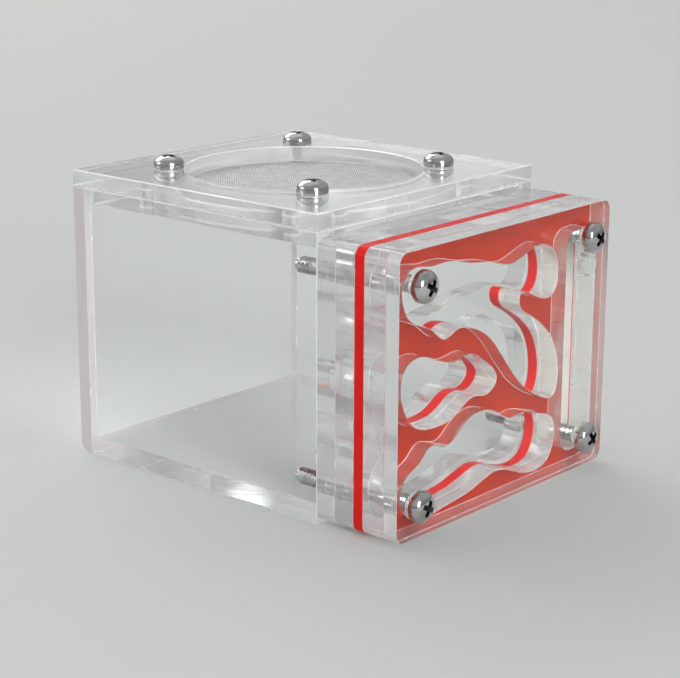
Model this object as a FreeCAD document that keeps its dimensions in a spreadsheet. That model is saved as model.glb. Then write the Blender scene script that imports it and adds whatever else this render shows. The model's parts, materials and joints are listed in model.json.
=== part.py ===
import FreeCAD, Part
import math
import os

import Sketcher

# Ant habitat: a clear box with a screened lift-off lid, and a nest of five
# bolted sheets that closes the box's right-hand end.
# X runs from the box to the nest's face, Y to the back, Z up. The origin is
# the middle of the footprint, on the surface that the habitat stands on.
# All lengths are in millimetres.

SIZES = (
    ("box_length", 59.0),
    ("box_width", 60.0),
    ("box_height", 50.5),
    ("wall", 3.0),
    ("lid_sheet", 3.0),
    ("lid_inset", 0.1),
    ("lid_fit", 0.4),
    ("lid_seat_gap", 0.1),
    ("vent_diameter", 43.5),
    ("mesh_overlap", 0.8),
    ("mesh_thickness", 0.3),
    ("mesh_bar", 1.2),
    ("lid_screw_margin", 2.9),
    ("panel_lift", 0.5),
    ("panel_drop", 1.0),
    ("panel_corner", 2.0),
    ("end_sheet", 4.0),
    ("rear_sheet", 4.0),
    ("red_sheet", 2.0),
    ("chamber_sheet", 4.5),
    ("cover_sheet", 2.8),
    ("nest_screw_inset", 5.6),
    ("nest_screw_far_inset", 6.1),
    ("chamber_side", 2.5),
    ("chamber_bottom", 2.3),
    ("chamber_top", 3.4),
    ("slot_web", 1.7),
    ("slot_width", 9.1),
    ("slot_side", 2.3),
    ("slot_bottom", 3.4),
    ("slot_top", 4.6),
    ("slot_corner", 3.0),
    ("fill_hole", 4.5),
    ("fill_drop", 5.1),
    ("passage", 6.5),
    ("screw_diameter", 3.0),
    ("screw_clearance", 0.2),
    ("thread_clearance", 0.05),
    ("head_diameter", 5.6),
    ("head_height", 2.4),
    ("lid_screw_length", 8.0),
    ("nest_screw_length", 25.0),
)

STACK = (
    "(sizes.end_sheet + sizes.rear_sheet + sizes.red_sheet"
    " + sizes.chamber_sheet + sizes.cover_sheet)"
)
PANEL_HEIGHT = "(sizes.box_height - sizes.panel_lift - sizes.panel_drop)"
BOX_LEFT = f"(-(sizes.box_length + {STACK} + sizes.head_height) / 2)"
BOX_RIGHT = f"({BOX_LEFT} + sizes.box_length)"
LID_CENTRE = f"({BOX_LEFT} + sizes.box_length / 2)"
LID_BOTTOM = "(sizes.box_height + sizes.lid_seat_gap)"
INNER_BOTTOM = f"({LID_BOTTOM} - sizes.mesh_thickness - sizes.lid_sheet)"
CLEARANCE_HOLE = "(sizes.screw_diameter + 2 * sizes.screw_clearance)"
THREADED_HOLE = "(sizes.screw_diameter + 2 * sizes.thread_clearance)"
SLOT_RIGHT = "(sizes.box_width - sizes.slot_side)"
SLOT_LEFT = f"({SLOT_RIGHT} - sizes.slot_width)"
SLOT_CEILING = f"({PANEL_HEIGHT} - sizes.slot_top)"
FIELD_WIDTH = f"({SLOT_LEFT} - sizes.slot_web - sizes.chamber_side)"
FIELD_HEIGHT = f"({PANEL_HEIGHT} - sizes.chamber_top - sizes.chamber_bottom)"
LID_SCREW_OFFSET = "((sizes.vent_diameter / 2 + sizes.lid_screw_margin) * cos(45))"

# The vent's mesh is drawn as a plain grille: how many bars cross it each way, the
# radius that they reach into its clamped rim, and how far apart they stand.
MESH_BARS = 9
BAR_REACH = "(sizes.vent_diameter / 2 + 0.9 * sizes.mesh_overlap)"
BAR_PITCH = f"(sizes.vent_diameter / {MESH_BARS + 1})"

# How far, in millimetres, the arcs of a cut-out may stray from its smooth curve.
OUTLINE_TOLERANCE = 0.05

# Closed outlines of the nest's cut-outs. Each pair is a fraction of the field
# that the side, bottom and top margins and the slot leave on the panel:
# across from the front edge, then up from the bottom.
UPPER_CHAMBER_FRACTIONS = (
    (0.00, 0.90), (0.02, 0.97), (0.07, 1.00), (0.15, 0.99), (0.26, 0.99), (0.40, 0.96),
    (0.53, 0.94), (0.65, 0.91), (0.78, 0.94), (0.89, 0.95), (0.95, 0.91), (0.98, 0.82),
    (0.945, 0.735), (0.86, 0.735), (0.77, 0.775), (0.729, 0.774), (0.722, 0.742), (0.785, 0.68),
    (0.94, 0.56),
    (0.998, 0.42), (0.97, 0.297), (0.87, 0.32), (0.737, 0.41), (0.627, 0.535), (0.517, 0.65),
    (0.385, 0.71), (0.315, 0.71), (0.26, 0.69), (0.176, 0.74), (0.04, 0.81),
)
MIDDLE_CHAMBER_FRACTIONS = (
    (0.00, 0.57), (0.035, 0.63), (0.115, 0.648), (0.23, 0.605), (0.32, 0.587), (0.42, 0.595),
    (0.502, 0.548), (0.583, 0.452), (0.54, 0.412), (0.43, 0.417), (0.33, 0.37), (0.21, 0.35),
    (0.088, 0.375), (0.02, 0.457),
)
LOWER_CHAMBER_FRACTIONS = (
    (0.01, 0.15), (0.045, 0.195), (0.11, 0.225), (0.178, 0.275), (0.23, 0.27), (0.286, 0.257),
    (0.385, 0.316), (0.495, 0.345), (0.595, 0.314), (0.68, 0.27), (0.75, 0.272), (0.88, 0.24),
    (0.97, 0.20), (0.987, 0.116), (0.947, 0.027), (0.837, 0.00), (0.727, 0.03), (0.595, 0.068),
    (0.45, 0.034), (0.25, 0.009), (0.10, 0.00), (0.025, 0.05),
)
REAR_UPPER_CHAMBER_FRACTIONS = (
    (0.14, 0.91), (0.175, 0.96), (0.257, 0.98), (0.395, 0.95), (0.53, 0.923), (0.65, 0.898),
    (0.78, 0.928), (0.885, 0.94), (0.945, 0.90), (0.97, 0.816), (0.94, 0.755), (0.85, 0.76),
    (0.737, 0.782), (0.627, 0.778), (0.517, 0.768), (0.407, 0.748), (0.297, 0.741),
    (0.198, 0.778), (0.14, 0.842),
)
REAR_MIDDLE_GALLERY_FRACTIONS = (
    (0.552, 0.635), (0.612, 0.672), (0.68, 0.674), (0.74, 0.642), (0.818, 0.605), (0.925, 0.553),
    (0.98, 0.445), (0.966, 0.318), (0.87, 0.337), (0.741, 0.427), (0.638, 0.548),
)
REAR_LOWER_CHAMBER_FRACTIONS = (
    (0.147, 0.115), (0.17, 0.207), (0.23, 0.248), (0.29, 0.241), (0.385, 0.298), (0.495, 0.327),
    (0.595, 0.296), (0.68, 0.254), (0.78, 0.246), (0.88, 0.222), (0.962, 0.182), (0.97, 0.116),
    (0.935, 0.046), (0.837, 0.019), (0.727, 0.046), (0.595, 0.086), (0.45, 0.055),
    (0.275, 0.028), (0.18, 0.042),
)
FRONT_OUTLINES = (UPPER_CHAMBER_FRACTIONS, MIDDLE_CHAMBER_FRACTIONS, LOWER_CHAMBER_FRACTIONS)
REAR_OUTLINES = (
    REAR_UPPER_CHAMBER_FRACTIONS,
    REAR_MIDDLE_GALLERY_FRACTIONS,
    MIDDLE_CHAMBER_FRACTIONS,
    REAR_LOWER_CHAMBER_FRACTIONS,
)
PASSAGE_FRACTIONS = ((0.235, 0.86), (0.14, 0.50), (0.58, 0.19))


def make_sheet(doc):
    """The spreadsheet of driving sizes, one alias for each."""
    sheet = doc.addObject("Spreadsheet::Sheet", "sizes")
    for row, (alias, size) in enumerate(SIZES, start=1):
        sheet.set(f"A{row}", alias)
        sheet.set(f"B{row}", str(size))
        sheet.setAlias(f"B{row}", alias)
    doc.recompute()
    return sheet


def number(sheet, expression):
    """The plain value, in millimetres, of an expression on the sheet."""
    return float(sheet.evalExpression(expression))


def bind(target, **expressions):
    """Tie an object's properties to expressions; a__b stands for a.b."""
    for name, expression in expressions.items():
        target.setExpression(name.replace("__", "."), expression)


def place(target, x, y, z):
    """Tie an object's position to three expressions."""
    bind(target, Placement__Base__x=x, Placement__Base__y=y, Placement__Base__z=z)


def make_block(doc, label, corner, lengths):
    """A plain plate: its lowest corner and its three side lengths."""
    block = doc.addObject("Part::Box", label)
    block.Label = label
    bind(block, Length=lengths[0], Width=lengths[1], Height=lengths[2])
    place(block, *corner)
    return block


def make_body(doc, label):
    """An empty body with its file's name as label."""
    body = doc.addObject("PartDesign::Body", label)
    body.Label = label
    return body


def make_sketch(body, name, role):
    """A sketch on one of the body's own origin planes."""
    sketch = body.newObject("Sketcher::SketchObject", name)
    plane = [item for item in body.Origin.OriginFeatures if item.Role == role][0]
    sketch.AttachmentSupport = [(plane, "")]
    sketch.MapMode = "FlatFace"
    return sketch


def tie_point(sheet, sketch, geometry, point, across, up):
    """Fix a sketch point at two expressions, measured from the sketch's origin."""
    for kind, expression, axis in (("DistanceX", across, -2), ("DistanceY", up, -1)):
        if number(sheet, expression) == 0:
            sketch.addConstraint(Sketcher.Constraint("PointOnObject", geometry, point, axis))
            continue
        value = number(sheet, expression)
        index = sketch.addConstraint(Sketcher.Constraint(kind, -1, 1, geometry, point, value))
        sketch.setExpression(f"Constraints[{index}]", expression)


def draw_polygon(sheet, sketch, corners):
    """A closed polygon whose corners are pairs of expressions."""
    points = [FreeCAD.Vector(number(sheet, a), number(sheet, b), 0) for a, b in corners]
    lines = []
    for start, end in zip(points, points[1:] + points[:1]):
        lines.append(sketch.addGeometry(Part.LineSegment(start, end)))
    for line, following in zip(lines, lines[1:] + lines[:1]):
        sketch.addConstraint(Sketcher.Constraint("Coincident", line, 2, following, 1))
    for line, (across, up) in zip(lines, corners):
        tie_point(sheet, sketch, line, 1, across, up)


def draw_rounded(sheet, sketch, lowest, highest, radius):
    """A rectangle with rounded corners, from its lowest to its highest corner."""
    (left, low), (right, high) = lowest, highest
    corners = (
        (f"({left} + {radius})", f"({low} + {radius})", 180),
        (f"({right} - {radius})", f"({low} + {radius})", 270),
        (f"({right} - {radius})", f"({high} - {radius})", 0),
        (f"({left} + {radius})", f"({high} - {radius})", 90),
    )
    arcs = []
    for across, up, start in corners:
        centre = FreeCAD.Vector(number(sheet, across), number(sheet, up), 0)
        circle = Part.Circle(centre, FreeCAD.Vector(0, 0, 1), number(sheet, radius))
        turn = (math.radians(start), math.radians(start + 90))
        arcs.append(sketch.addGeometry(Part.ArcOfCircle(circle, *turn)))
        index = sketch.addConstraint(Sketcher.Constraint("Radius", arcs[-1], number(sheet, radius)))
        sketch.setExpression(f"Constraints[{index}]", radius)
        tie_point(sheet, sketch, arcs[-1], 3, across, up)
    for arc, following in zip(arcs, arcs[1:] + arcs[:1]):
        start, end = sketch.getPoint(arc, 2), sketch.getPoint(following, 1)
        side = sketch.addGeometry(Part.LineSegment(start, end))
        sketch.addConstraint(Sketcher.Constraint("Tangent", arc, 2, side, 1))
        sketch.addConstraint(Sketcher.Constraint("Tangent", side, 2, following, 1))


def draw_circle(sheet, sketch, diameter, across="0", up="0"):
    """A circle tied to its diameter and its centre."""
    centre = FreeCAD.Vector(number(sheet, across), number(sheet, up), 0)
    normal = FreeCAD.Vector(0, 0, 1)
    circle = sketch.addGeometry(Part.Circle(centre, normal, number(sheet, diameter) / 2))
    value = number(sheet, diameter)
    index = sketch.addConstraint(Sketcher.Constraint("Diameter", circle, value))
    sketch.setExpression(f"Constraints[{index}]", diameter)
    tie_point(sheet, sketch, circle, 3, across, up)


def draw_curve(sheet, sketch, outline):
    """A smooth closed chain of arcs by way of an outline's points on the chamber field."""
    left = number(sheet, "sizes.chamber_side")
    bottom = number(sheet, "sizes.chamber_bottom")
    width = number(sheet, FIELD_WIDTH)
    height = number(sheet, FIELD_HEIGHT)
    points = [FreeCAD.Vector(left + u * width, bottom + v * height, 0) for u, v in outline]
    curve = Part.BSplineCurve()
    curve.interpolate(Points=points, PeriodicFlag=True)
    for arc in curve.toBiArcs(OUTLINE_TOLERANCE):
        sketch.addGeometry(arc)


def pad(body, sketch, length):
    """Raise a sketch into a sheet along its plane's normal."""
    feature = body.newObject("PartDesign::Pad", f"{body.Name}_pad")
    feature.Profile = sketch
    bind(feature, Length=length)
    sketch.Visibility = False
    return feature


def cut_through(body, sketch):
    """Cut a sketch through the sheet that stands on its plane."""
    body.Document.recompute()
    before = body.Shape.Volume
    feature = body.newObject("PartDesign::Pocket", f"{sketch.Name}_pocket")
    feature.Profile = sketch
    feature.Type = 1
    feature.Reversed = True
    body.Document.recompute()
    if body.Shape.Volume >= before:
        raise RuntimeError(f"{sketch.Name} cuts nothing from {body.Label}")
    return feature


def round_corners(body, base, axis, radius):
    """Round the straight edges of a sheet that run along an axis."""
    body.Document.recompute()
    names = []
    for index, edge in enumerate(base.Shape.Edges, start=1):
        direction = edge.tangentAt(edge.FirstParameter)
        if abs(direction.dot(axis)) > 0.999:
            names.append(f"Edge{index}")
    fillet = body.newObject("PartDesign::Fillet", f"{body.Name}_corners")
    fillet.Base = (base, names)
    bind(fillet, Radius=radius)
    body.Document.recompute()
    return fillet


def make_panel(doc, sheet, label, thickness, x):
    """One rounded sheet of the nest, its rear face at x."""
    body = make_body(doc, label)
    outline = make_sketch(body, f"{label}_outline", "YZ_Plane")
    wide, high = "sizes.box_width", PANEL_HEIGHT
    draw_polygon(sheet, outline, (("0", "0"), (wide, "0"), (wide, high), ("0", high)))
    base = pad(body, outline, thickness)
    round_corners(body, base, FreeCAD.Vector(1, 0, 0), "sizes.panel_corner")
    place(body, x, "-sizes.box_width / 2", "sizes.panel_lift")
    return body


def nest_screw_points():
    """The four bolt positions on the panel: across, then up."""
    near, far = "sizes.nest_screw_inset", "(sizes.box_width - sizes.nest_screw_far_inset)"
    low, high = "sizes.nest_screw_inset", f"({PANEL_HEIGHT} - sizes.nest_screw_far_inset)"
    return ((near, low), (far, low), (far, high), (near, high))


def drill_panel(sheet, body, diameter):
    """Four bolt holes through a nest sheet."""
    sketch = make_sketch(body, f"{body.Name}_bolts", "YZ_Plane")
    for across, up in nest_screw_points():
        draw_circle(sheet, sketch, diameter, across, up)
    cut_through(body, sketch)


def cut_outlines(sheet, body, outlines):
    """Wavy galleries cut through a nest sheet, one sketch for each."""
    for index, outline in enumerate(outlines, start=1):
        sketch = make_sketch(body, f"{body.Name}_gallery_{index}", "YZ_Plane")
        draw_curve(sheet, sketch, outline)
        cut_through(body, sketch)


def cut_slot(sheet, body):
    """The upright water slot beside the chambers, with rounded corners."""
    sketch = make_sketch(body, f"{body.Name}_slot", "YZ_Plane")
    draw_rounded(sheet, sketch, (SLOT_LEFT, "sizes.slot_bottom"), (SLOT_RIGHT, SLOT_CEILING),
                 "sizes.slot_corner")
    cut_through(body, sketch)


def make_nest(doc, sheet):
    """The five nest sheets, from the box's end outwards."""
    x = BOX_RIGHT
    end = make_panel(doc, sheet, "nest_end_wall", "sizes.end_sheet", x)
    drill_panel(sheet, end, THREADED_HOLE)
    drill_passages(sheet, end)
    x = f"{x} + sizes.end_sheet"
    rear = make_panel(doc, sheet, "nest_rear_sheet", "sizes.rear_sheet", x)
    drill_panel(sheet, rear, CLEARANCE_HOLE)
    cut_outlines(sheet, rear, REAR_OUTLINES)
    x = f"{x} + sizes.rear_sheet"
    red = make_panel(doc, sheet, "nest_red_sheet", "sizes.red_sheet", x)
    x = f"{x} + sizes.red_sheet"
    chamber = make_panel(doc, sheet, "nest_chamber_sheet", "sizes.chamber_sheet", x)
    for body in (red, chamber):
        drill_panel(sheet, body, CLEARANCE_HOLE)
        cut_outlines(sheet, body, FRONT_OUTLINES)
        cut_slot(sheet, body)
    x = f"{x} + sizes.chamber_sheet"
    cover = make_panel(doc, sheet, "nest_cover_sheet", "sizes.cover_sheet", x)
    drill_panel(sheet, cover, CLEARANCE_HOLE)
    sketch = make_sketch(cover, "fill_hole", "YZ_Plane")
    across, bolt = nest_screw_points()[2]
    draw_circle(sheet, sketch, "sizes.fill_hole", across, f"({bolt} - sizes.fill_drop)")
    cut_through(cover, sketch)
    return [end, rear, red, chamber, cover]


def drill_passages(sheet, body):
    """Round ways from each chamber into the box."""
    sketch = make_sketch(body, "passages", "YZ_Plane")
    for u, v in PASSAGE_FRACTIONS:
        across = f"(sizes.chamber_side + {u} * {FIELD_WIDTH})"
        up = f"(sizes.chamber_bottom + {v} * {FIELD_HEIGHT})"
        draw_circle(sheet, sketch, "sizes.passage", across, up)
    cut_through(body, sketch)


def make_box(doc):
    """The glued plates of the box: floor, left wall, front wall and back wall."""
    above_floor = "(sizes.box_height - sizes.wall)"
    between = "(sizes.box_length - sizes.wall)"
    inside = f"({BOX_LEFT} + sizes.wall)"
    front, back = "-sizes.box_width / 2", "sizes.box_width / 2 - sizes.wall"
    return [
        make_block(doc, "box_floor", (BOX_LEFT, front, "0"),
                   ("sizes.box_length", "sizes.box_width", "sizes.wall")),
        make_block(doc, "box_left_wall", (BOX_LEFT, front, "sizes.wall"),
                   ("sizes.wall", "sizes.box_width", above_floor)),
        make_block(doc, "box_front_wall", (inside, front, "sizes.wall"),
                   (between, "sizes.wall", above_floor)),
        make_block(doc, "box_back_wall", (inside, back, "sizes.wall"),
                   (between, "sizes.wall", above_floor)),
    ]


def lid_screw_points():
    """The four screw positions on the lid, from its middle."""
    near, far = f"-{LID_SCREW_OFFSET}", LID_SCREW_OFFSET
    return ((near, near), (far, near), (far, far), (near, far))


def make_lid_plate(doc, sheet, label, left, right, back, z, hole):
    """A lid sheet with the round vent and four screw holes, measured from the vent."""
    body = make_body(doc, label)
    outline = make_sketch(body, f"{label}_outline", "XY_Plane")
    front = f"-{back}"
    draw_polygon(sheet, outline, ((left, front), (right, front), (right, back), (left, back)))
    pad(body, outline, "sizes.lid_sheet")
    vent = make_sketch(body, f"{label}_vent", "XY_Plane")
    draw_circle(sheet, vent, "sizes.vent_diameter")
    cut_through(body, vent)
    screws = make_sketch(body, f"{label}_screws", "XY_Plane")
    for across, up in lid_screw_points():
        draw_circle(sheet, screws, hole, across, up)
    cut_through(body, screws)
    place(body, LID_CENTRE, "0", z)
    return body


def mesh_bar(index):
    """The corners of one bar along X: it ends inside the mesh's rim."""
    middle = f"({index - (MESH_BARS - 1) / 2} * {BAR_PITCH})"
    low, high = f"({middle} - sizes.mesh_bar / 2)", f"({middle} + sizes.mesh_bar / 2)"
    end = f"sqrt({BAR_REACH}^2 - (abs({middle}) + sizes.mesh_bar / 2)^2)"
    return ((f"-{end}", low), (end, low), (end, high), (f"-{end}", high))


def make_mesh(doc, sheet):
    """The vent's mesh: a rim for the plates to clamp, and bars both ways across it."""
    mesh = make_body(doc, "vent_mesh")
    rim = make_sketch(mesh, "mesh_rim", "XY_Plane")
    draw_circle(sheet, rim, "sizes.vent_diameter + 2 * sizes.mesh_overlap")
    draw_circle(sheet, rim, "sizes.vent_diameter")
    pad(mesh, rim, "sizes.mesh_thickness")
    for name, crosses in (("mesh_bars_along", False), ("mesh_bars_across", True)):
        bars = make_sketch(mesh, name, "XY_Plane")
        for index in range(MESH_BARS):
            corners = mesh_bar(index)
            if crosses:
                corners = tuple((up, across) for across, up in reversed(corners))
            draw_polygon(sheet, bars, corners)
        pad(mesh, bars, "sizes.mesh_thickness")
    place(mesh, LID_CENTRE, "0", f"{LID_BOTTOM} - sizes.mesh_thickness")
    return mesh


def make_lid(doc, sheet):
    """The lid's two plates and the mesh that they clamp."""
    right = "(sizes.box_length / 2 - sizes.lid_inset)"
    back = "(sizes.box_width / 2 - sizes.lid_inset)"
    top = make_lid_plate(doc, sheet, "lid_top_plate", f"-{right}", right, back,
                         LID_BOTTOM, CLEARANCE_HOLE)
    left = "(sizes.wall + sizes.lid_fit - sizes.box_length / 2)"
    right = "(sizes.box_length / 2 - sizes.lid_fit)"
    back = "(sizes.box_width / 2 - sizes.wall - sizes.lid_fit)"
    inner = make_lid_plate(doc, sheet, "lid_inner_plate", left, right, back,
                           INNER_BOTTOM, THREADED_HOLE)
    return [top, inner, make_mesh(doc, sheet)]


def make_screw(doc, sheet, label, length, position, turned):
    """A machine screw: a plain shank and head, its head's seat at the given position."""
    body = make_body(doc, label)
    profile = make_sketch(body, f"{label}_profile", "XZ_Plane")
    shank, head = "sizes.screw_diameter / 2", "sizes.head_diameter / 2"
    corners = (
        ("0", f"-{length}"),
        (shank, f"-{length}"),
        (shank, "0"),
        (head, "0"),
        (head, "sizes.head_height"),
        ("0", "sizes.head_height"),
    )
    draw_polygon(sheet, profile, corners)
    turn = body.newObject("PartDesign::Revolution", f"{label}_turned")
    turn.Profile = profile
    turn.ReferenceAxis = (profile, ["V_Axis"])
    turn.Angle = 360
    body.Placement.Rotation = FreeCAD.Rotation(FreeCAD.Vector(0, 1, 0), turned)
    place(body, *position)
    return body


def make_screws(doc, sheet):
    """Four screws through the lid and four through the nest."""
    screws = []
    names = ("front_left", "front_right", "back_right", "back_left")
    for name, (across, up) in zip(names, lid_screw_points()):
        seat = (f"{LID_CENTRE} + {across}", up, f"{LID_BOTTOM} + sizes.lid_sheet")
        screws.append(make_screw(doc, sheet, f"lid_screw_{name}", "sizes.lid_screw_length", seat, 0))
    names = ("bottom_front", "bottom_back", "top_back", "top_front")
    for name, (across, up) in zip(names, nest_screw_points()):
        seat = (f"{BOX_RIGHT} + {STACK}", f"{across} - sizes.box_width / 2", f"{up} + sizes.panel_lift")
        screws.append(make_screw(doc, sheet, f"nest_screw_{name}", "sizes.nest_screw_length", seat, 90))
    return screws


def check(doc, parts):
    """Stop on a failed feature or a bad shape before anything is written."""
    for item in doc.Objects:
        if "Invalid" in item.State or "Error" in item.State:
            raise RuntimeError(f"{item.Label} failed: {item.State}")
    for part in parts:
        if part.Shape.isNull() or not part.Shape.isValid() or len(part.Shape.Solids) != 1:
            raise RuntimeError(f"{part.Label} has a bad shape")


def main():
    """Build the habitat and write one file for each piece."""
    doc = FreeCAD.newDocument("ant_habitat")
    sheet = make_sheet(doc)
    parts = make_box(doc) + make_nest(doc, sheet) + make_lid(doc, sheet) + make_screws(doc, sheet)
    doc.recompute()
    check(doc, parts)
    os.makedirs("parts", exist_ok=True)
    for part in parts:
        part.Shape.exportStep(os.path.join("parts", f"{part.Label}.step"))


main()
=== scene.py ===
"""Looks of a clear ant habitat: a screened box with a layered nest screwed to its right end.

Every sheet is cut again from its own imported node, so that its outline stays the model's, and gets
polished faces and satin cut edges. The screws and the vent's mesh are made by Geometry Nodes.
"""

from __future__ import annotations

import json
import logging
import math
from collections.abc import Callable, Sequence
from dataclasses import dataclass, field
from enum import Enum, IntEnum

import bmesh
import bpy
from mathutils import Matrix, Vector
from mathutils.geometry import tessellate_polygon

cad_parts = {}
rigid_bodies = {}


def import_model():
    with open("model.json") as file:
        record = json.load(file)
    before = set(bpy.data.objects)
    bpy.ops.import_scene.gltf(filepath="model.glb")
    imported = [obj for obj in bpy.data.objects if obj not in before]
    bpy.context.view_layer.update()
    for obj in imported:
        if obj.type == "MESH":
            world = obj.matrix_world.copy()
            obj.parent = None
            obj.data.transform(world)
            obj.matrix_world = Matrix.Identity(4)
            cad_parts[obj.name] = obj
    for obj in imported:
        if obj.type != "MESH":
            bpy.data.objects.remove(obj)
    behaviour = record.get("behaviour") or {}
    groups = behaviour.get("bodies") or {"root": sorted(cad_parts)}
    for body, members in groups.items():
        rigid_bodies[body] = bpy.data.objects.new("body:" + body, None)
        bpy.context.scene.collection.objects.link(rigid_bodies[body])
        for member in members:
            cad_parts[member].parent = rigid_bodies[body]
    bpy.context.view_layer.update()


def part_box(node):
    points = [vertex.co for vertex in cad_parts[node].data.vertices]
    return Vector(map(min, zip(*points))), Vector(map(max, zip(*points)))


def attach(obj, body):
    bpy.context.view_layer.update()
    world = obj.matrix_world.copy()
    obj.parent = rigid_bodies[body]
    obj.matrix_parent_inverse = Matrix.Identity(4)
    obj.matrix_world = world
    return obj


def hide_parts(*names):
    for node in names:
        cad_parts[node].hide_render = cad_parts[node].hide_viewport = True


LOG = logging.getLogger("ant_habitat")
MM = 0.001
MERGE = 1e-6
FULL_TURN = 6.2831
ORIGIN = (0.0, 0.0, 0.0)
ACRYLIC_INDEX = 1.49
SUNK = "sunk"
NUMBER, WHOLE, VECTOR = "NodeSocketFloat", "NodeSocketInt", "NodeSocketVector"

Colour = tuple[int, int, int]
Point = tuple[float, float, float]


class Body(str, Enum):
    """The moving bodies that pieces ride on."""

    BOX = "box_and_nest"
    LID = "lid"


class Slot(str, Enum):
    """The record's material slots."""

    CLEAR = "clear_acrylic"
    RED = "red_acrylic"
    STEEL = "screw_steel"
    MESH = "steel_mesh"


class Axis(IntEnum):
    """The direction of a sheet's thickness."""

    X = 0
    Y = 1
    Z = 2


class SheetPart(IntEnum):
    """The parts of a cut sheet that may differ in finish, in the order of its materials."""

    HIGH_FACE = 0
    RIM = 1
    LOW_FACE = 2
    OPENING = 3
    ARRIS = 4
    SLOT = 5


def linear(red: int, green: int, blue: int) -> tuple[float, float, float, float]:
    """Turn a colour written in 0 to 255 steps into the shader's linear values.

    Args:
        red: The red step.
        green: The green step.
        blue: The blue step.

    Returns:
        The linear colour with a full alpha.
    """
    steps = [value / 255 for value in (red, green, blue)]
    parts = [s / 12.92 if s <= 0.04045 else ((s + 0.055) / 1.055) ** 2.4 for s in steps]
    return (parts[0], parts[1], parts[2], 1.0)


# ---------------------------------------------------------------------------------------------
# Node trees


@dataclass
class Board:
    """A node tree that is being wired."""

    tree: bpy.types.NodeTree

    def place(self, kind: str, wires: dict | None = None, **settings: object) -> bpy.types.Node:
        """Add one node, set its options, and fill or wire its inputs.

        Args:
            kind: The node's type name.
            wires: What each input gets, by its name or number: a socket is linked, a value is set.
            **settings: The node's own options.

        Returns:
            The new node.
        """
        node = self.tree.nodes.new(kind)
        for name, value in settings.items():
            setattr(node, name, value)
        for key, value in (wires or {}).items():
            if isinstance(value, bpy.types.NodeSocket):
                self.tree.links.new(value, node.inputs[key])
            else:
                node.inputs[key].default_value = value
        return node

    def math(self, operation: str, *values: object) -> bpy.types.NodeSocket:
        """Work on numbers with a Math node."""
        wires = dict(enumerate(values))
        return self.place("ShaderNodeMath", wires, operation=operation).outputs[0]

    def vector(self, operation: str, *values: object) -> bpy.types.NodeSocket:
        """Work on vectors with a Vector Math node, and return the vector."""
        wires = dict(enumerate(values))
        return self.place("ShaderNodeVectorMath", wires, operation=operation).outputs["Vector"]

    def measure(self, operation: str, *values: object) -> bpy.types.NodeSocket:
        """Work on vectors with a Vector Math node, and return the number."""
        wires = dict(enumerate(values))
        return self.place("ShaderNodeVectorMath", wires, operation=operation).outputs["Value"]

    def combine(self, x: object = 0.0, y: object = 0.0, z: object = 0.0) -> bpy.types.NodeSocket:
        """Put three numbers together as a vector."""
        return self.place("ShaderNodeCombineXYZ", {0: x, 1: y, 2: z}).outputs[0]

    def parts(self, vector: object) -> list[bpy.types.NodeSocket]:
        """Take a vector's three numbers apart."""
        return list(self.place("ShaderNodeSeparateXYZ", {0: vector}).outputs)

    def ramp(
        self,
        value: object,
        low: float,
        high: float,
        to_low: float = 0.0,
        to_high: float = 1.0,
        curve: str = "LINEAR",
    ) -> bpy.types.NodeSocket:
        """Stretch a value from one range to another, and hold it there."""
        wires = dict(enumerate((value, low, high, to_low, to_high)))
        return self.place("ShaderNodeMapRange", wires, interpolation_type=curve).outputs[0]

    def noise(self, vector: object, scale: object, detail: float = 2.0) -> bpy.types.NodeSocket:
        """Add a Noise texture at a vector."""
        wires = {"Vector": vector, "Scale": scale, "Detail": detail, "Roughness": 0.55}
        return self.place("ShaderNodeTexNoise", wires).outputs[0]

    def mix(self, share: object, first: object, second: object) -> bpy.types.NodeSocket:
        """Mix two colours."""
        wires = {0: share, 6: first, 7: second}
        return self.place("ShaderNodeMix", wires, data_type="RGBA").outputs[2]

    def cloud(
        self, scale: float, detail: float, deep: Colour, light: Colour
    ) -> bpy.types.NodeSocket:
        """Mix two tones in soft clouds over the piece."""
        share = self.ramp(self.noise(self.here(), scale, detail), 0.35, 0.65)
        return self.mix(share, linear(*deep), linear(*light))

    def bump(self, height: object, strength: float, depth: float) -> bpy.types.NodeSocket:
        """Turn a height into a bumped normal."""
        wires = {"Strength": strength, "Distance": depth, "Height": height}
        return self.place("ShaderNodeBump", wires).outputs[0]

    def here(self) -> bpy.types.NodeSocket:
        """Give the place on the piece, in its own coordinates."""
        return self.place("ShaderNodeTexCoord").outputs["Object"]

    def effect(self, group: bpy.types.NodeTree, **values: object) -> bpy.types.bpy_prop_collection:
        """Place a shared effect on the piece and return its outputs."""
        wires = {"Vector": self.here()} | values
        return self.place("ShaderNodeGroup", wires, node_tree=group).outputs


def start_group(
    name: str, kind: str, inputs: dict[str, tuple], outputs: dict[str, str]
) -> tuple[Board, bpy.types.bpy_prop_collection]:
    """Start a node group with its named sockets.

    Args:
        name: The group's name.
        kind: The type of its tree.
        inputs: Socket type and starting value by name.
        outputs: Socket type by name.

    Returns:
        The board over the group, and the sockets that give its inputs.
    """
    tree = bpy.data.node_groups.new(name, kind)
    for label, (socket_type, value) in inputs.items():
        socket = tree.interface.new_socket(name=label, in_out="INPUT", socket_type=socket_type)
        if value is not None:
            socket.default_value = value
    for label, socket_type in outputs.items():
        tree.interface.new_socket(name=label, in_out="OUTPUT", socket_type=socket_type)
    board = Board(tree)
    return board, board.place("NodeGroupInput").outputs


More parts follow.
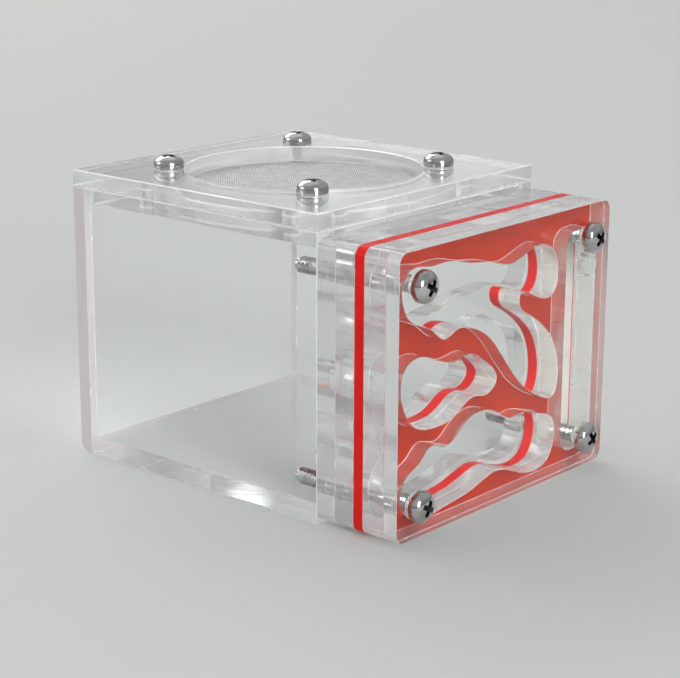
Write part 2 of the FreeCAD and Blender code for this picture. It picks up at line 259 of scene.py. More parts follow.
def scratch_group() -> bpy.types.NodeTree:
    """Make the group for the fine handling scratches that the sheets and screws share.

    Returns:
        The group, which puts out a mask.
    """
    inputs = {"Vector": (VECTOR, ORIGIN), "Scale": (NUMBER, 90.0)}
    board, given = start_group("handling_scratches", "ShaderNodeTree", inputs, {"Mask": NUMBER})
    faint, full = 0.66, 0.72
    lines = []
    for turn, squeeze in (
        ((0.3, 0.5, 0.6), (1.0, 0.04, 0.04)),
        ((1.1, -0.7, 2.2), (0.05, 1.0, 0.05)),
    ):
        wires = {"Vector": given["Vector"], "Rotation": turn}
        turned = board.place("ShaderNodeMapping", wires).outputs[0]
        grain = board.noise(board.vector("MULTIPLY", turned, squeeze), given["Scale"], 1.0)
        lines.append(board.ramp(grain, faint, full))
    board.place("NodeGroupOutput", {0: board.math("MAXIMUM", *lines)})
    return board.tree


def striation_group() -> bpy.types.NodeTree:
    """Make the group for the fine lines that a laser leaves across a cut edge.

    Returns:
        The group, which puts out a mask of the lines and a height.
    """
    inputs = {
        "Vector": (VECTOR, ORIGIN),
        "Along": (VECTOR, (1.0, 1.0, 1.0)),
        "Lines Per Metre": (NUMBER, 2600.0),
    }
    outputs = {"Mask": NUMBER, "Height": NUMBER}
    board, given = start_group("cut_striations", "ShaderNodeTree", inputs, outputs)
    broad_scale, fine_share, broad_share = 260.0, 0.6, 0.4
    flat = board.vector("MULTIPLY", given["Vector"], given["Along"])
    fine = board.noise(flat, given["Lines Per Metre"], 1.0)
    broad = board.noise(flat, broad_scale)
    shares = [board.math("MULTIPLY", fine, fine_share), board.math("MULTIPLY", broad, broad_share)]
    height = board.math("ADD", *shares)
    board.place("NodeGroupOutput", {0: board.ramp(broad, 0.25, 0.75), 1: height})
    return board.tree


def dust_group() -> bpy.types.NodeTree:
    """Make the group for the few specks of dust on the sheets.

    Returns:
        The group, which puts out a mask.
    """
    inputs = {"Vector": (VECTOR, ORIGIN), "Scale": (NUMBER, 160.0)}
    board, given = start_group("dust_specks", "ShaderNodeTree", inputs, {"Mask": NUMBER})
    speck_core, speck_rim = 0.05, 0.09
    rare, rarest = 0.9, 0.93
    cells = board.place("ShaderNodeTexVoronoi", {"Vector": given[0], "Scale": given[1]}).outputs
    speck = board.ramp(cells["Distance"], speck_core, speck_rim, 1.0, 0.0)
    chance = board.place("ShaderNodeSeparateColor", {0: cells["Color"]}).outputs[0]
    few = board.ramp(chance, rare, rarest)
    board.place("NodeGroupOutput", {0: board.math("MULTIPLY", speck, few)})
    return board.tree


@dataclass
class Effects:
    """The shader groups that the finishes share."""

    scratches: bpy.types.NodeTree = field(default_factory=scratch_group)
    striations: bpy.types.NodeTree = field(default_factory=striation_group)
    dust: bpy.types.NodeTree = field(default_factory=dust_group)


# ---------------------------------------------------------------------------------------------
# Finishes


def new_material(name: str) -> tuple[bpy.types.Material, Board]:
    """Start a node material with an empty tree, and return it with the board over that tree."""
    material = bpy.data.materials.new(name)
    material.use_nodes = True
    material.node_tree.nodes.clear()
    return material, Board(material.node_tree)


def dress(board: Board, wires: dict, passing: float | None = None) -> None:
    """Add a material's shader and its output.

    Args:
        board: The material's board.
        wires: What the shader's inputs get.
        passing: For a clear sheet, the share of the lamps' light that its shadow lets through.
    """
    surface = board.place("ShaderNodeBsdfPrincipled", wires).outputs[0]
    if passing is not None:
        in_shadow = board.place("ShaderNodeLightPath").outputs["Is Shadow Ray"]
        tint = {"Color": (passing, passing, passing, 1.0)}
        pale = board.place("ShaderNodeBsdfTransparent", tint).outputs[0]
        surface = board.place("ShaderNodeMixShader", {0: in_shadow, 1: surface, 2: pale}).outputs[0]
    board.place("ShaderNodeOutputMaterial", {"Surface": surface})


@dataclass(frozen=True)
class Coating:
    """What every finish has: a name, and a node material made from the shared effects."""

    name: str
    passing: float | None = field(default=None, kw_only=True)

    def wires(self, board: Board, effects: Effects) -> dict:
        """Wire what the finish's shader gets."""
        raise NotImplementedError

    def make(self, effects: Effects) -> bpy.types.Material:
        """Build the node material.

        Args:
            effects: The shared shader groups.

        Returns:
            The material.
        """
        material, board = new_material(self.name)
        dress(board, self.wires(board, effects), self.passing)
        return material


@dataclass(frozen=True)
class PolishedClear(Coating):
    """The polished face of a clear sheet."""

    glint: float = 0.15
    index: float = ACRYLIC_INDEX
    tint: Colour = (253, 254, 254)
    worn_roughness: float = 0.06
    scratch_scale: float = 420.0
    passing: float | None = field(default=0.95, kw_only=True)

    def wires(self, board: Board, effects: Effects) -> dict:
        """Wire clear acrylic that is rougher where it is scratched or dusty.

        Args:
            board: The material's board.
            effects: The shared shader groups.

        Returns:
            What the shader's inputs get.
        """
        scratches = board.effect(effects.scratches, Scale=self.scratch_scale)[0]
        worn = board.math("MAXIMUM", scratches, board.effect(effects.dust)[0])
        return {
            "Base Color": linear(*self.tint),
            "Roughness": board.ramp(worn, 0.0, 1.0, 0.0, self.worn_roughness),
            "IOR": self.index,
            "Transmission Weight": 1.0,
            "Specular Tint": (self.glint, self.glint, self.glint, 1.0),
        }


@dataclass(frozen=True)
class SatinCut(Coating):
    """The satin edge that a laser leaves on a clear sheet."""

    axis: Axis
    tint: Colour = (236, 237, 237)
    smooth: float = 0.08
    rough: float = 0.22
    clearness: float = 0.76
    relief: float = 0.12
    depth: float = 0.06 * MM
    passing: float | None = field(default=0.82, kw_only=True)

    def wires(self, board: Board, effects: Effects) -> dict:
        """Wire cloudy acrylic with fine lines across the sheet's thickness.

        Args:
            board: The material's board.
            effects: The shared shader groups.

        Returns:
            What the shader's inputs get.
        """
        along = [float(axis != self.axis) for axis in Axis]
        cut = board.effect(effects.striations, Along=along)
        return {
            "Base Color": linear(*self.tint),
            "Roughness": board.ramp(cut["Mask"], 0.0, 1.0, self.smooth, self.rough),
            "IOR": ACRYLIC_INDEX,
            "Transmission Weight": self.clearness,
            "Normal": board.bump(cut["Height"], self.relief, self.depth),
        }


@dataclass(frozen=True)
class RedAcrylic(Coating):
    """The opaque red sheet: its glossy face is its own red deepened with painted shade, and its cut
    edge a lighter red that is a painted glow.
    """

    light: Colour
    deep: Colour
    smooth: float
    rough: float
    sheen: float
    is_cut: bool = False
    cloud_scale: float = 70.0
    relief: float = 0.3
    depth: float = 0.05 * MM

    def wires(self, board: Board, effects: Effects) -> dict:
        """Wire red acrylic with a faint change of colour through the sheet.

        Args:
            board: The material's board.
            effects: The shared shader groups.

        Returns:
            What the shader's inputs get.
        """
        wires = {
            "Base Color": board.cloud(self.cloud_scale, 2.0, self.deep, self.light),
            "IOR": ACRYLIC_INDEX,
            "Specular IOR Level": self.sheen,
        }
        if self.is_cut:
            marks = board.effect(effects.striations, Along=(0.0, 1.0, 1.0))
            wires["Normal"] = board.bump(marks["Height"], self.relief, self.depth)
        else:
            marks = board.effect(effects.scratches)
        wires["Roughness"] = board.ramp(marks["Mask"], 0.0, 1.0, self.smooth, self.rough)
        return wires


@dataclass(frozen=True)
class Steel(Coating):
    """A bright stainless steel, for the screws or the woven wire."""

    light: Colour
    dark: Colour
    smooth: float
    rough: float
    # Painted shade: a dark colour and extra roughness for the faces sunk in the cross recess, where
    # shade falls.
    recess_shade: Colour = (92, 92, 89)
    recess_shade_roughness: float = 0.2
    scratch_scale: float = 1500.0
    cloud_scale: float = 500.0

    def wires(self, board: Board, effects: Effects) -> dict:
        """Wire scratched steel with a cloudy tone, and painted shade on the faces sunk in the cross
        recess.

        Args:
            board: The material's board.
            effects: The shared shader groups.

        Returns:
            What the shader's inputs get.
        """
        marks = board.effect(effects.scratches, Scale=self.scratch_scale)[0]
        sunk = board.place("ShaderNodeAttribute", attribute_name=SUNK).outputs["Fac"]
        worn = board.ramp(marks, 0.0, 1.0, self.smooth, self.rough)
        shaded_roughness = board.math("MULTIPLY", sunk, self.recess_shade_roughness)
        bare = board.cloud(self.cloud_scale, 3.0, self.dark, self.light)
        return {
            # The faces marked sunk get the painted shade colour.
            "Base Color": board.mix(sunk, bare, linear(*self.recess_shade)),
            "Metallic": 1.0,
            "Roughness": board.math("ADD", worn, shaded_roughness),
        }


class Finish(Enum):
    """Every finish of the habitat."""

    CLEAR = PolishedClear("polished_clear_acrylic")
    INNER = PolishedClear("inner_clear_acrylic", glint=0.0)
    PRESSED = PolishedClear("pressed_clear_acrylic", glint=0.0, index=1.18)
    FROSTED = SatinCut(
        "frosted_clear_acrylic", Axis.X, (226, 226, 219), 0.35, 0.5, clearness=0.55, relief=0.05
    )
    CUT_X = SatinCut("satin_cut_x", Axis.X)
    CUT_Y = SatinCut("satin_cut_y", Axis.Y)
    CUT_Z = SatinCut("satin_cut_z", Axis.Z)
    GALLERY = SatinCut(
        "gallery_cut", Axis.X, (250, 250, 249), 0.05, 0.2, clearness=0.9, relief=0.1
    )
    SLOT_CUT = SatinCut(
        "slot_cut", Axis.X, (242, 242, 237), 0.2, 0.36, clearness=0.86, relief=0.05
    )
    SANDED = SatinCut("sanded_cut", Axis.X, (222, 214, 218), 0.3, 0.45, clearness=0.35)
    VENT_CUT = SatinCut("vent_cut", Axis.Z, (228, 229, 229), 0.16, 0.3, clearness=0.6)
    ARRIS = SatinCut(
        "ground_arris", Axis.X, (246, 246, 246), 0.2, 0.3, clearness=0.6, relief=0.0
    )
    LID_ARRIS = SatinCut(
        "lid_arris", Axis.Z, (252, 252, 252), 0.2, 0.3, clearness=0.3, relief=0.0
    )
    GLOSSY_CUT = SatinCut(
        "glossy_cut_z", Axis.Z, (244, 247, 246), 0.0, 0.05, clearness=0.97, relief=0.05
    )
    # The face's deep red is partly the sheet's own colour and partly painted shade.
    RED_FACE = RedAcrylic("glossy_red_face", (166, 36, 0), (152, 29, 0), 0.06, 0.16, sheen=0.05)
    # The cut edge's lighter red is a painted glow of light through and on the edges.
    RED_CUT = RedAcrylic(
        "red_cut_edge", (232, 38, 32), (216, 29, 25), 0.22, 0.42, sheen=0.1, is_cut=True
    )
    SCREW = Steel("bright_screw_steel", (204, 204, 202), (172, 173, 173), 0.1, 0.26)
    WIRE = Steel("woven_wire_steel", (226, 226, 224), (212, 213, 213), 0.42, 0.55)


@dataclass
class Palette:
    """The finishes as materials, each made once from the shared effects."""

    effects: Effects = field(default_factory=Effects)
    made: dict[Finish, bpy.types.Material] = field(init=False)

    def __post_init__(self) -> None:
        """Make every material."""
        self.made = {finish: finish.value.make(self.effects) for finish in Finish}

    def __getitem__(self, finish: Finish) -> bpy.types.Material:
        """Return a finish's material."""
        return self.made[finish]

    def coat(
        self, face: Finish, cut: Finish, others: dict[SheetPart, Finish] | None = None
    ) -> list[bpy.types.Material]:
        """Choose a sheet's materials.

        Args:
            face: The finish of its two faces.
            cut: The finish of all its cut edges.
            others: The finish of each part that has another one.

        Returns:
            The materials, in the order of the sheet's parts.
        """
        chosen = {part: cut for part in SheetPart}
        chosen |= {SheetPart.HIGH_FACE: face, SheetPart.LOW_FACE: face} | (others or {})
        return [self[finish] for finish in chosen.values()]


# ---------------------------------------------------------------------------------------------
# Pieces and their meshes


def new_piece(name: str, mesh: bpy.types.Mesh) -> bpy.types.Object:
    """Put a mesh in the scene under a piece's name."""
    piece = bpy.data.objects.new(name, mesh)
    bpy.context.scene.collection.objects.link(piece)
    return piece


def settle(piece: bpy.types.Object, body: Body, nodes: Sequence[str]) -> None:
    """Tell the frame where a finished piece belongs, and report it.

    Args:
        piece: The finished piece.
        body: The body that it moves with.
        nodes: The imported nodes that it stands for.
    """
    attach(piece, body.value)
    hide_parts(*nodes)
    LOG.info("%s: %d faces, for %s", piece.name, len(piece.data.polygons), ", ".join(nodes))


def keep_mesh(
    name: str, made: bmesh.types.BMesh, materials: Sequence[bpy.types.Material] = ()
) -> bpy.types.Mesh:
    """Turn a mesh that was being worked on into a kept one.

    Args:
        name: The mesh's name.
        made: The worked mesh, which is freed.
        materials: The materials that it carries.

    Returns:
        The kept mesh.
    """
    mesh = bpy.data.meshes.new(name)
    made.to_mesh(mesh)
    made.free()
    for material in materials:
        mesh.materials.append(material)
    return mesh


def soften(mesh: bpy.types.Mesh, degrees: float) -> None:
    """Shade a mesh smooth, apart from edges that turn by more than an angle."""
    mesh.shade_smooth()
    mesh.set_sharp_from_angle(angle=math.radians(degrees))


def add_belt(made: bmesh.types.BMesh, below: list, above: list, part: int = 0) -> None:
    """Join two closed rings of points with a belt of faces.

    Args:
        made: The mesh that gets the faces.
        below: The lower ring's points.
        above: The upper ring's points.
        part: The faces' material number.
    """
    for i in range(len(below)):
        n = (i + 1) % len(below)
        made.faces.new((below[i], below[n], above[n], above[i])).material_index = part


def cut_away(piece: bpy.types.Object, cutter: bpy.types.Object) -> bpy.types.Mesh:
    """Cut one piece with another and remove the cutter.

    Args:
        piece: The piece that is cut.
        cutter: The piece that cuts it.

    Returns:
        The plain mesh that is left.
    """
    cutting = piece.modifiers.new("cut_away", "BOOLEAN")
    cutting.operation = "DIFFERENCE"
    cutting.solver = "EXACT"
    cutting.object = cutter
    graph = bpy.context.evaluated_depsgraph_get()
    mesh = bpy.data.meshes.new_from_object(piece.evaluated_get(graph))
    piece.modifiers.remove(cutting)
    bpy.data.objects.remove(cutter)
    return mesh


# ---------------------------------------------------------------------------------------------
# Sheets


@dataclass
class CutSheet:
    """A flat sheet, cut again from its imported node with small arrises."""

    name: str
    node: str
    axis: Axis
    body: Body
    materials: list[bpy.types.Material]
    slot: Slot = Slot.CLEAR
    has_slot_finish: bool = False
    arris: float = 0.07 * MM
    face_gap: float = 0.015 * MM
    side_gap: float = 0.0
    sharp_degrees: float = 30.0

    def outlines(self) -> list[list[Vector]]:
        """Read the sheet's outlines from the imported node.

        Returns:
            The outlines, each with the material on its left.
        """
        made = bmesh.new()
        made.from_mesh(bpy.data.objects[self.node].data)
        bmesh.ops.remove_doubles(made, verts=made.verts, dist=MERGE)
        low = min(v.co[self.axis] for v in made.verts)
        cap = {f for f in made.faces if all(v.co[self.axis] - low < MERGE for v in f.verts)}
        following = {}
        for facet in cap:
            for corner in facet.loops:
                if sum(f in cap for f in corner.edge.link_faces) == 1:
                    following[corner.link_loop_next.vert] = corner.vert
        loops = []
        while following:
            start = min(following, key=lambda v: v.index)
            loop = [start]
            vertex = following.pop(start)
            while vertex is not start:
                loop.append(vertex)
                vertex = following.pop(vertex)
            loops.append([v.co.copy() for v in loop])
        made.free()
        return loops

    def flatten(self, point: Vector) -> Vector:
        """Drop the thickness from a point, keeping the other two in a right-handed order."""
        return Vector((point[(self.axis + 1) % 3], point[(self.axis + 2) % 3]))

    def lift(self, point: Vector, height: float) -> Vector:
        """Put a flat point back at a height along the thickness."""
        placed = Vector(ORIGIN)
        placed[(self.axis + 1) % 3], placed[(self.axis + 2) % 3] = point
        placed[self.axis] = height
        return placed

    @staticmethod
    def pull_in(loop: list[Vector], distance: float) -> list[Vector]:
        """Move a flat outline into the material by a distance.

        Args:
            loop: The outline, with the material on its left.
            distance: How far each side moves.

        Returns:
            The moved outline.
        """
        moved = []
        for before, point, after in zip(loop[-1:] + loop[:-1], loop, loop[1:] + loop[:1]):
            one = (point - before).normalized()
            two = (after - point).normalized()
            mean = Vector((-one.y - two.y, one.x + two.x))
            moved.append(point + mean * distance / max(0.5, 1 + one.dot(two)))
        return moved

    def build(self) -> bpy.types.Object:
        """Cut the sheet.

        Returns:
            The finished piece, riding on its body.
        """
        low, high = (corner[self.axis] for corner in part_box(self.node))
        low += self.face_gap
        high -= self.face_gap
        levels = (low, low + self.arris, high - self.arris, high)
        insets = (self.arris, 0.0, 0.0, self.arris)
        flat = [[self.flatten(p) for p in loop] for loop in self.outlines()]
        made = bmesh.new()
        rings = []
        for height, inset in zip(levels, insets):
            sides = [self.pull_in(loop, inset + self.side_gap) for loop in flat]
            rings.append([[made.verts.new(self.lift(p, height)) for p in loop] for loop in sides])
        loops = range(len(flat))
        parts = {max(loops, key=lambda i: max(point.x for point in flat[i])): SheetPart.RIM}
        if self.has_slot_finish:
            furthest_back = max(loops, key=lambda i: min(point.x for point in flat[i]))
            parts[furthest_back] = SheetPart.SLOT
        for step, (below, above) in enumerate(zip(rings, rings[1:])):
            for number in loops:
                part = parts.get(number, SheetPart.OPENING) if step == 1 else SheetPart.ARRIS
                add_belt(made, below[number], above[number], part)
        self.close(made, rings[0], SheetPart.LOW_FACE)
        self.close(made, rings[-1], SheetPart.HIGH_FACE)
        bmesh.ops.recalc_face_normals(made, faces=made.faces)
        mesh = keep_mesh(self.name, made, self.materials)
        soften(mesh, self.sharp_degrees)
        piece = new_piece(self.name, mesh)
        settle(piece, self.body, [self.node])
        return piece

    def close(self, made: bmesh.types.BMesh, ring: list[list], part: SheetPart) -> None:
        """Fill one face of the sheet between its outlines.

        Args:
            made: The mesh that gets the face.
            ring: The points of each outline at the face's level.
            part: Which face it is.
        """
        corners = [v for loop in ring for v in loop]
        flat = [[self.flatten(v.co).to_3d() for v in loop] for loop in ring]
        for picked in tessellate_polygon(flat):
            a, b, c = (self.flatten(corners[i].co) for i in picked)
            is_up = (b - a).cross(c - a) > 0
            order = picked if is_up == (part is SheetPart.HIGH_FACE) else tuple(reversed(picked))
            made.faces.new([corners[i] for i in order]).material_index = part


@dataclass
class SlotStrip(CutSheet):
    """The frosted strip that fills the red sheet's water slot and lets two screws through."""

    hole: float = 3.6 * MM
    turns: int = 32
    drill_length: float = 10 * MM

    def outlines(self) -> list[list[Vector]]:
        """Read the water slot's outline, the loop that lies furthest back."""
        slot = max(super().outlines(), key=lambda loop: min(point.y for point in loop))
        return [slot[::-1]]

    def lay(self, screws: Sequence[str]) -> None:
        """Cut the strip, then drill it for its screws.

        Args:
            screws: The screws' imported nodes.
        """
        strip = self.build()
        drill = bmesh.new()
        for node in screws:
            low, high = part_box(node)
            middle = (low + high) / 2
            middle.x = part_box(self.node)[0].x
            bmesh.ops.create_cone(
                drill,
                cap_ends=True,
                segments=self.turns,
                radius1=self.hole / 2,
                radius2=self.hole / 2,
                depth=self.drill_length,
                matrix=Matrix.Translation(middle) @ Matrix.Rotation(math.pi / 2, 4, "Y"),
            )
        mesh = keep_mesh("strip_drill", drill, [self.materials[SheetPart.RIM]])
        strip.data = cut_away(strip, new_piece("strip_drill", mesh))


# ---------------------------------------------------------------------------------------------
# Screws


@dataclass
class GeometryRecipe:
    """A Geometry Nodes tree with named inputs, run once on a carrier mesh."""

    name: str
    inputs: dict[str, tuple]
    board: Board = field(init=False)
    given: bpy.types.bpy_prop_collection = field(init=False)

    def __post_init__(self) -> None:
        """Start the tree with its sockets."""
        shared = {
            "Geometry": ("NodeSocketGeometry", None),
            "Middle": (VECTOR, ORIGIN),
            "Turn": (VECTOR, ORIGIN),
            "Material": ("NodeSocketMaterial", None),
        }
        self.board, self.given = start_group(
            self.name,
            "GeometryNodeTree",
            shared | self.inputs,
            {"Geometry": "NodeSocketGeometry"},
        )

    def ring(self, radius: object, sides: int) -> bpy.types.NodeSocket:
        """Draw a round section."""
        wires = {"Resolution": sides, "Radius": radius}
        return self.board.place("GeometryNodeCurvePrimitiveCircle", wires).outputs[0]

    def sweep(self, path: object, section: object) -> bpy.types.NodeSocket:
        """Run a section along a path and close its ends."""
        wires = {0: path, 1: section, "Fill Caps": True}
        return self.board.place("GeometryNodeCurveToMesh", wires).outputs[0]

    def finish(self, geometry: bpy.types.NodeSocket) -> None:
        """Turn and place the shape, and end the tree in Realize Instances and Set Material.

        Args:
            geometry: The shape.
        """
        board, given = self.board, self.given
        wires = {0: geometry, "Translation": given["Middle"], "Rotation": given["Turn"]}
        placed = board.place("GeometryNodeTransform", wires)
        real = board.place("GeometryNodeRealizeInstances", {0: placed.outputs[0]})
        wires = {"Geometry": real.outputs[0], "Material": given["Material"]}
        painted = board.place("GeometryNodeSetMaterial", wires)
        board.place("NodeGroupOutput", {0: painted.outputs[0]})

    def run(
        self, name: str, carrier: bpy.types.Mesh, values: dict[str, object]
    ) -> bpy.types.Object:
        """Run the tree on a carrier mesh and keep the result as a plain piece.

        Args:
            name: The piece's name.
            carrier: The mesh that the tree starts from.
            values: The inputs to set, by their names.

        Returns:
            The piece, with no modifier left on it.
        """
        holder = new_piece(f"{name}_carrier", carrier)
        modifier = holder.modifiers.new(self.name, "NODES")
        modifier.node_group = self.board.tree
        for item in self.board.tree.interface.items_tree:
            if item.in_out == "INPUT" and item.name in values:
                modifier[item.identifier] = values[item.name]
        graph = bpy.context.evaluated_depsgraph_get()
        mesh = bpy.data.meshes.new_from_object(holder.evaluated_get(graph))
        mesh.name = name
        bpy.data.objects.remove(holder)
        return new_piece(name, mesh)


@dataclass
class PanHead:
    """A pan head with a cross recess, standing on z = 0."""

    diameter: float = 5.6 * MM
    height: float = 2.4 * MM
    side: float = 0.7 * MM
    rim: float = 0.12 * MM
    fullness: float = 2.25
    recess_depth: float = 1.5 * MM
    recess_reach: float = 1.6 * MM
    recess_width: float = 0.46 * MM
    cutter_rise: float = 0.2 * MM
    sunk_from: float = 0.1 * MM
    rim_break: float = 0.3
    foot_share: float = 0.5
    turns: int = 56
    steps: int = 12
    sharp_degrees: float = 32.0

    def crown(self, radius: float) -> float:
        """Return the crown's height at a radius."""
        share = min(1.0, 2 * radius / self.diameter)
        dome = (1 - share**self.fullness) ** (1 / self.fullness)
        return self.side + (self.height - self.side) * dome

    def profile(self) -> list[tuple[float, float]]:
        """Draw the head's half section, from its rim underneath to its crown.

        Returns:
            The radius and height of each point.
        """
        radius, rim = self.diameter / 2, self.rim
        points = [
            (radius - rim, 0.0),
            (radius - rim * self.rim_break, rim * self.rim_break),
            (radius, rim),
            (radius, self.side),
        ]
        for i in range(1, self.steps):
            across = radius * math.cos(math.pi / 2 * i / self.steps) ** (2 / self.fullness)
            points.append((across, self.crown(across)))
        return points

    def turned(self) -> bpy.types.Mesh:
        """Turn the half section into a closed head.

        Returns:
            The head's mesh, before its recess is cut.
        """
        made = bmesh.new()
        angles = [2 * math.pi * i / self.turns for i in range(self.turns)]
        rings = []
        for radius, height in self.profile():
            points = [(radius * math.cos(a), radius * math.sin(a), height) for a in angles]
            rings.append([made.verts.new(point) for point in points])
        for below, above in zip(rings, rings[1:]):
            add_belt(made, below, above)
        made.faces.new(list(reversed(rings[0])))
        top = made.verts.new((0.0, 0.0, self.height))
        for i in range(self.turns):
            made.faces.new((rings[-1][i], rings[-1][(i + 1) % self.turns], top))
        return keep_mesh("pan_head", made)

    def cross(self) -> bpy.types.Mesh:
        """Make the tapering cross that is cut from the head.

        Returns:
            The cutter's mesh.
        """
        made = bmesh.new()
        foot, top = self.height - self.recess_depth, self.height + self.cutter_rise
        rings = []
        for share, height in ((self.foot_share, foot), (1.0, top)):
            reach = self.recess_reach * share
            width = self.recess_width * (0.6 + 0.4 * share)
            ring = []
            for quarter in range(4):
                turn = Matrix.Rotation(quarter * math.pi / 2, 2)
                for corner in ((reach, -width), (reach, width), (width, width)):
                    ring.append(made.verts.new((*(turn @ Vector(corner)), height)))
            rings.append(ring)
        add_belt(made, *rings)
        made.faces.new(list(reversed(rings[0])))
        made.faces.new(rings[1])
        return keep_mesh("cross_recess", made)

    def build(self) -> bpy.types.Mesh:
        """Cut the recess from the head, and mark what lies in it for the steel's painted shade.

        Returns:
            The head's mesh.
        """
        head = new_piece("pan_head", self.turned())
        mesh = cut_away(head, new_piece("cross_recess", self.cross()))
        bpy.data.objects.remove(head)
        # The sunk faces carry the steel's painted shade.
        sunk = mesh.attributes.new(SUNK, "FLOAT", "FACE")
        for face in mesh.polygons:
            radius, height = face.center.xy.length, face.center.z
            inside = radius < self.recess_reach and height > self.sunk_from
            is_sunk = inside and self.crown(radius) - height > self.sunk_from
            sunk.data[face.index].value = float(is_sunk)
        soften(mesh, self.sharp_degrees)
        return mesh


@dataclass
class ScrewSet:
    """Four like screws at the corners of a rectangle, made by one Geometry Nodes tree."""

    name: str
    nodes: tuple[str, ...]
    axis: Axis
    body: Body
    steel: bpy.types.Material
    seed: int
    head: PanHead = field(default_factory=PanHead)
    major: float = 2.98 * MM
    pitch: float = 0.9 * MM
    depth: float = 0.4 * MM
    ridge_share: float = 0.44
    turns: int = 24

    def core(self, made: GeometryRecipe) -> bpy.types.NodeSocket:
        """Draw the core of the shank, straight down from under the head."""
        down = made.board.math("MULTIPLY", made.given["Shank Length"], -1.0)
        wires = {"End": made.board.combine(z=down)}
        line = made.board.place("GeometryNodeCurvePrimitiveLine", wires).outputs[0]
        return made.sweep(line, made.ring(made.given["Core Radius"], self.turns))

    def thread(self, made: GeometryRecipe) -> bpy.types.NodeSocket:
        """Wind the thread's ridge round the core.

        Args:
            made: The tree that gets the thread.

        Returns:
            The thread's shape.
        """
        board, given = made.board, made.given
        run = board.math("SUBTRACT", given["Shank Length"], given["Pitch"])
        wires = {
            "Resolution": self.turns,
            "Rotations": board.math("DIVIDE", run, given["Pitch"]),
            "Start Radius": given["Core Radius"],
            "End Radius": given["Core Radius"],
            "Height": run,
        }
        spiral = board.place("GeometryNodeCurveSpiral", wires).outputs[0]
        level = board.place("GeometryNodeSetCurveNormal", {0: spiral}, mode="Z_UP").outputs[0]
        ridge = board.place("GeometryNodeCurvePrimitiveQuadrilateral", mode="POINTS")
        half = board.math("MULTIPLY", given["Pitch"], self.ridge_share)
        tips = ((1.0, 0.0), (0.0, 1.0), (-1.0, 0.0), (0.0, -1.0))
        for number, (out, up) in enumerate(tips, start=1):
            across = board.math("MULTIPLY", given["Thread Depth"], out)
            tip = board.combine(across, board.math("MULTIPLY", half, up))
            board.tree.links.new(tip, ridge.inputs[f"Point {number}"])
        wound = made.sweep(level, ridge.outputs[0])
        foot = board.math("ADD", run, board.math("MULTIPLY", given["Pitch"], 0.5))
        offset = board.combine(z=board.math("MULTIPLY", foot, -1.0))
        seated = board.place("GeometryNodeTransform", {0: wound, "Translation": offset})
        wires = {0: seated.outputs[0], "Shade Smooth": False}
        return board.place("GeometryNodeSetShadeSmooth", wires).outputs[0]

    def recipe(self) -> GeometryRecipe:
        """Build the tree: a threaded shank under the head, set at each corner.

        Returns:
            The finished tree.
        """
        inputs = {
            "Shank Length": (NUMBER, 8 * MM),
            "Core Radius": (NUMBER, 1.2 * MM),
            "Thread Depth": (NUMBER, 0.3 * MM),
            "Pitch": (NUMBER, 0.5 * MM),
            "Spacing Across": (NUMBER, 40 * MM),
            "Spacing Up": (NUMBER, 40 * MM),
            "Seed": (WHOLE, 1),
        }
        made = GeometryRecipe("pan_head_screws", inputs)
        board, given = made.board, made.given
        screw = board.place("GeometryNodeJoinGeometry")
        for part in (given["Geometry"], self.core(made), self.thread(made)):
            board.tree.links.new(part, screw.inputs[0])
        wires = {
            "Size X": given["Spacing Across"],
            "Size Y": given["Spacing Up"],
            "Vertices X": 2,
            "Vertices Y": 2,
        }
        grid = board.place("GeometryNodeMeshGrid", wires).outputs[0]
        corners = board.place("GeometryNodeMeshToPoints", {0: grid}).outputs[0]
        wires = {"Max": (0.0, 0.0, FULL_TURN), "Seed": given["Seed"]}
        spin = board.place("FunctionNodeRandomValue", wires, data_type="FLOAT_VECTOR").outputs[0]
        wires = {0: corners, "Instance": screw.outputs[0], "Rotation": spin}
        made.finish(board.place("GeometryNodeInstanceOnPoints", wires).outputs[0])
        return made

    def build(self) -> None:
        """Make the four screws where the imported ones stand."""
        boxes = [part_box(node) for node in self.nodes]
        low = Vector(min(b[0][i] for b in boxes) for i in range(3))
        high = Vector(max(b[1][i] for b in boxes) for i in range(3))
        middle = (low + high) / 2
        middle[self.axis] = high[self.axis] - self.head.height
        across, up = ((2, 1) if self.axis is Axis.X else (0, 1))
        values = {
            "Shank Length": high[self.axis] - low[self.axis] - self.head.height,
            "Core Radius": self.major / 2 - self.depth,
            "Thread Depth": self.depth,
            "Pitch": self.pitch,
            "Spacing Across": high[across] - low[across] - self.head.diameter,
            "Spacing Up": high[up] - low[up] - self.head.diameter,
            "Middle": middle,
            "Turn": (0.0, math.pi / 2 if self.axis is Axis.X else 0.0, 0.0),
            "Seed": self.seed,
            "Material": self.steel,
        }
        piece = self.recipe().run(self.name, self.head.build(), values)
        settle(piece, self.body, self.nodes)


# ---------------------------------------------------------------------------------------------
# Mesh


